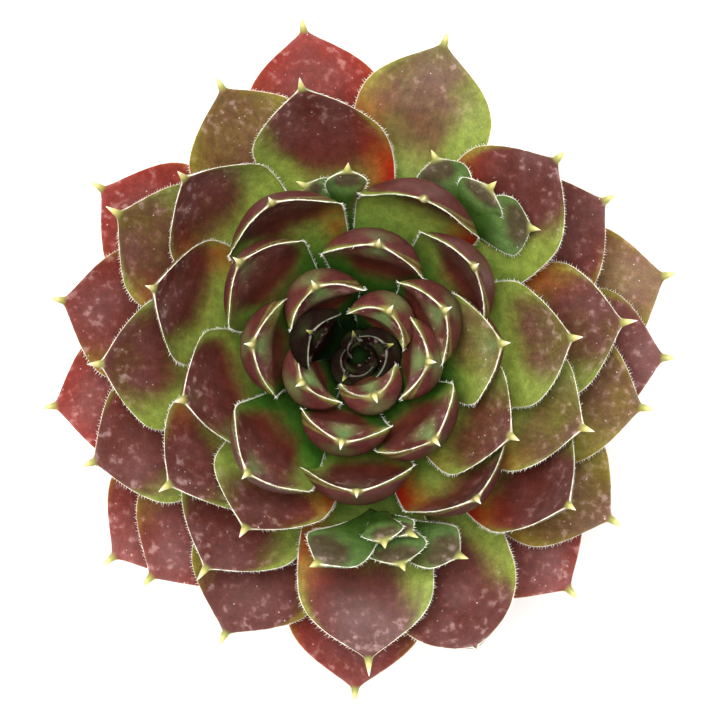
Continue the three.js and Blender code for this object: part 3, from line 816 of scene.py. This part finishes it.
leaf_material = leaf_skin(
    "houseleek leaf, waxy", "#2a4c12", "#727f33", "#4a1f17", "#603028", "#861f0d", "#4c2420", 0.2
)
old_leaf_material = leaf_skin(
    "old houseleek leaf, reddened", "#4a5a18", "#736a26", "#43201a", "#62302a", "#7c2216", "#6e2a24", 0.12
)

# How far single leaves have turned red all through, or stayed olive, from 0 to 1.
RED_LEAVES = {45: 0.3, 48: 0.3, 50: 0.8, 51: 0.5, 53: 0.8, 54: 0.4, 55: 0.9, 61: 0.4}
OLIVE_LEAVES = {
    11: 0.4,
    15: 1.0,
    20: 0.4,
    22: 0.3,
    23: 0.8,
    27: 0.2,
    28: 0.8,
    29: 0.3,
    32: 0.4,
    36: 0.5,
    37: 0.6,
    39: 0.8,
    41: 0.9,
    42: 0.9,
    46: 0.9,
    57: 1.0,
}

all_margins = []


def leaf_sizes(order):
    """Width and thickness of a leaf of this age."""
    width = LEAF_WIDTH * mix(1, 0.3, math.exp(-(order + 2) / 12))
    return width, LEAF_THICKNESS * mix(0.5, 1, float(ramp(order, 0, 30)))


def farthest_point(node):
    """The tip of a CAD leaf: its point farthest from the foot of the plant's axis there."""
    points = np.array([v.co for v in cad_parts[node].data.vertices]) / MM
    distance = np.linalg.norm(points - [0, 0, points[:, 2].min()], axis=1)
    return points[distance.argmax()]


def hook_of(order):
    """Degrees by which the end of this leaf bends up further than its bowl."""
    return OLD_HOOK + HEART_HOOK * (1 - float(ramp(order, 9, 17))) + LEAF_HOOKS.get(order, 0)


def length_to(bowl, hook, radius):
    """The length of blade whose spine ends at this radius."""
    tries = np.arange(3, 75, 0.5)
    ends = [np.interp(t + SPINE_LENGTH, *profile_of(bowl, t, hook)[:2]) for t in tries]
    return float(np.interp(radius, np.maximum.accumulate(ends), tries))


for node in sorted(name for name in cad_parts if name.startswith("leaf_")):
    order = int(node[len("leaf_") :])
    tip = farthest_point(node)
    turn = math.degrees(math.atan2(tip[1], tip[0]))
    hook = hook_of(order)
    place = LEAF_BOWLS.get(order, order)
    drawn_in = DRAWN_IN * (1 - float(ramp(order, 38, 46)))
    reach = math.hypot(tip[0], tip[1]) + LEAF_REACHES.get(order, 0) - drawn_in
    length = length_to(bowl_of(place), hook, reach)
    width, thickness = leaf_sizes(order)
    spine = WORN_SPINE_LENGTH if order in SPINELESS_LEAVES else SPINE_LENGTH
    solid = leaf_solid(
        place, turn, length, width, thickness, spine, hook=hook, sway=LEAF_SWAYS.get(order, 0),
        blunt=order in SPINELESS_LEAVES, seed=order, redness=RED_LEAVES.get(order, 0),
        olive=OLIVE_LEAVES.get(order, 0),
    )
    if order in SPINELESS_LEAVES:
        solid[2]["edge"][:, 1] -= NO_HORN
    if order in RED_SIDES:
        solid[2]["habit"][:, 1] = RED_SIDES[order]
    all_margins += solid[3]
    old = order > 40
    piece = leaf_piece(f"blade_{order:02d}", [solid], old_leaf_material if old else leaf_material)
    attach(piece, "root")
    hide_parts(node)

# ---- Heart bud ---------------------------------------------------------------------------------
# The youngest four leaves, still folded over the growing point.

BUD_REACHES = [0, -0.3, -0.6, 0.8]  # further out than the even spiral gives
CLOSED_LEAF_COUNT = 4  # inside the bud, over the growing point
CLOSED_LEAF_LENGTH = 3
CLOSED_LEAF_WIDTH = 4
CLOSED_LEAF_THICKNESS = 0.8
FIRST_LEAF_TURN = 102
GOLDEN_ANGLE = 137.5

# The heart's leaves, closed leaves and dome are near black: partly their own dark green and maroon, mostly
# painted shade of the deep heart.
heart_shade_leaf_material = leaf_skin(
    "young houseleek leaf, painted with the heart's shade", "#071006", "#111c0b", "#170908", "#170908", "#200b09", "#180e0b", 0.0
)
young_surface = heart_shade_leaf_material.node_tree.nodes["Principled BSDF"]
young_surface.inputs["Specular IOR Level"].default_value = 0.05  # no wax yet, so hardly a shine
young_surface.inputs["IOR"].default_value = 1.1
solids = []
for order in range(BUD_LEAF_COUNT):
    width, thickness = leaf_sizes(order)
    turn = FIRST_LEAF_TURN + GOLDEN_ANGLE * order
    hook = hook_of(order)
    length = length_to(bowl_of(order), hook, tip_radius(order) + BUD_REACHES[order])
    solids.append(leaf_solid(order, turn, length, width, thickness, hook=hook, seed=order))
    # The pale horn is held back here also as painted shade of the heart.
    solids[-1][2]["edge"][:, 1] -= 1.6  # less horn than on a grown leaf
for number in range(CLOSED_LEAF_COUNT):
    turn = FIRST_LEAF_TURN - GOLDEN_ANGLE * (number + 1)
    closed = leaf_solid(
        0, turn, CLOSED_LEAF_LENGTH, CLOSED_LEAF_WIDTH, CLOSED_LEAF_THICKNESS, spine=0.6, hook=50,
        seed=90 + number,
    )
    # The pale margin and horn are left off also as painted shade of the heart.
    closed[2]["edge"][:, :2] += [NO_HORN, -NO_HORN]  # no pale margin or horn yet
    solids.append(closed)
# The dome over the growing point is a dark piece in the same near-black skin: painted shade in the hollow of
# the heart.
dome_foot = bowl_of(BUD_LEAF_COUNT)["z"] + FIT_GAP
dome_top = bowl_of(0)["z"] + 0.2
dome_radius = bowl_of(BUD_LEAF_COUNT - 1)["radius"]
dome_shoulder = mix(dome_foot, dome_top, 0.5)
dome_profile = [(0, dome_foot), (dome_radius, dome_foot), (dome_radius, dome_shoulder), (0, dome_top)]
vertices, faces = turned(rounded(dome_profile, 0.8), 24)
dome_values = {"blade": [0, 0.2, 1], "edge": [3, -9, 0], "habit": [0, 0, 0]}
for name, value in dome_values.items():
    dome_values[name] = np.tile(np.array(value, float), (len(vertices), 1))
solids.append((np.array(vertices), faces, dome_values, []))
bud = leaf_piece("bud_leaves", solids, heart_shade_leaf_material)
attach(bud, "root")
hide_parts("heart_bud")

# ---- Offsets -----------------------------------------------------------------------------------
# Small rosettes of their own, pushed out between the main leaves. Each sits at a turn about the
# stock and a distance out along the bowls, and its leaves lie on bowls between the main leaves.

OFFSET_LEAF_THICKNESS = 1.3
OFFSET_SPINE_SHARE = 0.6
# For each leaf: its bowl, its heading, its length and its width.
OFFSETS = {
    "offset_front": (
        278, 22, [(21, 0, 6, 6), (21.5, -44, 14, 9), (22, 40, 6, 4), (23.5, 12, 9.5, 9), (27, 52, 13, 8)]
    ),
    "offset_back": (53, 22, [(28, -6, 6.8, 8), (28.1, -56, 10.6, 9), (28.4, 56, 9.6, 8)]),
    "offset_back_small": (96, 19, [(22.9, -10, 7, 6), (23.6, 46, 7, 6)]),
}

offset_material = leaf_skin(
    "offset leaf, fresh green", "#2a4012", "#4a6030", "#403824", "#403824", "#4f4824", "#5c6c44", 0.08
)
offset_surface = offset_material.node_tree.nodes["Principled BSDF"]
offset_surface.inputs["Subsurface Weight"].default_value = 0.1  # thinner, so less light gets lost in them
for node, (turn, start, leaves) in OFFSETS.items():
    solids = []
    for number, (order, heading, length, width) in enumerate(leaves):
        solids.append(
            leaf_solid(
                order, turn, length, width, OFFSET_LEAF_THICKNESS, spine=OFFSET_SPINE_SHARE * SPINE_LENGTH,
                start=start, heading=heading, seed=100 * turn + number,
            )
        )
    all_margins += [margin for solid in solids for margin in solid[3]]
    piece = leaf_piece(node + "_leaves", solids, offset_material)
    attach(piece, "root")
    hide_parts(node)

# ---- Margin hairs ------------------------------------------------------------------------------
# A fringe of short, stiff, colourless hairs along the margin of every leaf, part of its skin.

HAIR_SPACING = 0.42
HAIR_LENGTH = 0.5
HAIR_THICKNESS = 0.07
HAIR_SEED = 3

# Dead, air-filled hair cells: white and a little glossy.
hair_material, nodes, surface = new_material("leaf hair, air-filled")
place = add(nodes, "ShaderNodeTexCoord").outputs["Object"]
shades = add(nodes, "ShaderNodeTexNoise", {"Vector": place, "Scale": 1 / (3 * MM)}).outputs["Fac"]
body = add(
    nodes, "ShaderNodeMix", {0: shades, 6: linear("#efeada"), 7: linear("#fbfaf4")}, **COLOUR
).outputs[2]
nodes.links.new(body, surface.inputs["Base Color"])
surface.inputs["Roughness"].default_value = 0.5

tree, given, result = geometry_tree(
    "margin hairs",
    {
        "Hair spacing": "NodeSocketFloat",
        "Hair length": "NodeSocketFloat",
        "Hair thickness": "NodeSocketFloat",
        "Seed": "NodeSocketInt",
        "Hair": "NodeSocketMaterial",
    },
)
line = add(tree, "GeometryNodeMeshToCurve", {0: given["Geometry"]})
roots = add(
    tree,
    "GeometryNodeResampleCurve",
    {"Curve": line.outputs[0], "Length": given["Hair spacing"]},
    mode="LENGTH",
)
outward = add(
    tree, "GeometryNodeInputNamedAttribute", {"Name": "outward"}, data_type="FLOAT_VECTOR"
).outputs[0]
stray = add(
    tree,
    "FunctionNodeRandomValue",
    {0: (-0.5,) * 3, 1: (0.5,) * 3, "Seed": given["Seed"]},
    data_type="FLOAT_VECTOR",
)
pointing = add(tree, "ShaderNodeVectorMath", {0: outward, 1: stray.outputs[0]}, operation="ADD")
rotation = add(tree, "FunctionNodeAlignRotationToVector", {"Vector": pointing.outputs[0]}, axis="Z")
radius = add(tree, "ShaderNodeMath", {0: given["Hair thickness"], 1: 0.5}, operation="MULTIPLY")
cone = add(
    tree,
    "GeometryNodeMeshCone",
    {"Vertices": 3, "Radius Top": 0.0, "Radius Bottom": radius.outputs[0], "Depth": given["Hair length"]},
)
lengths = add(tree, "FunctionNodeRandomValue", {2: 0.5, 3: 1.3, "Seed": given["Seed"]}, data_type="FLOAT")
stretch = add(tree, "ShaderNodeCombineXYZ", {0: 1.0, 1: 1.0, 2: lengths.outputs[1]})
hairs = add(
    tree,
    "GeometryNodeInstanceOnPoints",
    {
        "Points": roots.outputs[0],
        "Instance": cone.outputs[0],
        "Rotation": rotation.outputs[0],
        "Scale": stretch.outputs[0],
    },
)
real = add(tree, "GeometryNodeRealizeInstances", {0: hairs.outputs[0]})
painted = add(tree, "GeometryNodeSetMaterial", {"Geometry": real.outputs[0], "Material": given["Hair"]})
tree.links.new(painted.outputs[0], result[0])

points = []
edges = []
directions = []
for edge, outer in all_margins:
    first = len(points)
    points += list(edge)
    directions += list(outer / np.linalg.norm(outer, axis=1)[:, None])
    edges += [(first + i, first + i + 1) for i in range(len(edge) - 1)]
guide_mesh = bpy.data.meshes.new("margins")
guide_mesh.from_pydata([tuple(p) for p in np.array(points) * MM], edges, [])
layer = guide_mesh.attributes.new("outward", "FLOAT_VECTOR", "POINT")
layer.data.foreach_set("vector", np.array(directions, dtype=np.float32).ravel())
guide = bpy.data.objects.new("margins", guide_mesh)
bpy.context.scene.collection.objects.link(guide)
hair_values = {
    "Hair spacing": HAIR_SPACING * MM,
    "Hair length": HAIR_LENGTH * MM,
    "Hair thickness": HAIR_THICKNESS * MM,
    "Seed": HAIR_SEED,
    "Hair": hair_material,
}
fringe = bpy.data.objects.new("margin_hairs", grown(guide, tree, hair_values))
bpy.context.scene.collection.objects.link(fringe)
bpy.data.objects.remove(guide)
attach(fringe, "root")

# ---- Studio ------------------------------------------------------------------------------------
# A plain pale floor, one big soft light overhead and even light all round.

FLOOR_SIZE = 4000
CAMERA_HEIGHT = 495
VIEW_WIDTH = 102.9  # that the picture takes in, at the height of the leaf tips
VIEW_PLANE_Z = 75
CAMERA_ASIDE = (0.29, -0.71)
SOFTBOX_SIZE = 900
SOFTBOX_HEIGHT = 1100
SOFTBOX_POWER = 26

floor_material, nodes, surface = new_material("matt white board")
surface.inputs["Base Color"].default_value = linear("#f4f4f2")
surface.inputs["Roughness"].default_value = 0.9
reach = FLOOR_SIZE / 2
corners = [(-reach, -reach, 0), (reach, -reach, 0), (reach, reach, 0), (-reach, reach, 0)]
floor = mesh_piece("floor", corners, [(0, 1, 2, 3)], floor_material)

scene = bpy.context.scene
world = bpy.data.worlds.new("even light")
world.use_nodes = True
world.node_tree.nodes["Background"].inputs["Color"].default_value = linear("#ffffff")
world.node_tree.nodes["Background"].inputs["Strength"].default_value = 0.6
scene.world = world
softbox_light = bpy.data.lights.new("softbox", "AREA")
softbox_light.shape = "DISK"
softbox_light.size = SOFTBOX_SIZE * MM
softbox_light.energy = SOFTBOX_POWER
softbox = bpy.data.objects.new("softbox", softbox_light)
softbox.location = (-0.14, 0.2, SOFTBOX_HEIGHT * MM)
softbox.rotation_euler = (Vector((0, 0, 0.08)) - softbox.location).to_track_quat("-Z", "Y").to_euler()
scene.collection.objects.link(softbox)

camera_data = bpy.data.cameras.new("camera")
camera_data.sensor_width = 36
camera_data.angle = 2 * math.atan(VIEW_WIDTH / 2 / (CAMERA_HEIGHT - VIEW_PLANE_Z))
camera = bpy.data.objects.new("camera", camera_data)
camera.location = (CAMERA_ASIDE[0] * MM, CAMERA_ASIDE[1] * MM, CAMERA_HEIGHT * MM)
scene.collection.objects.link(camera)
scene.camera = camera
scene.view_settings.view_transform = "Standard"
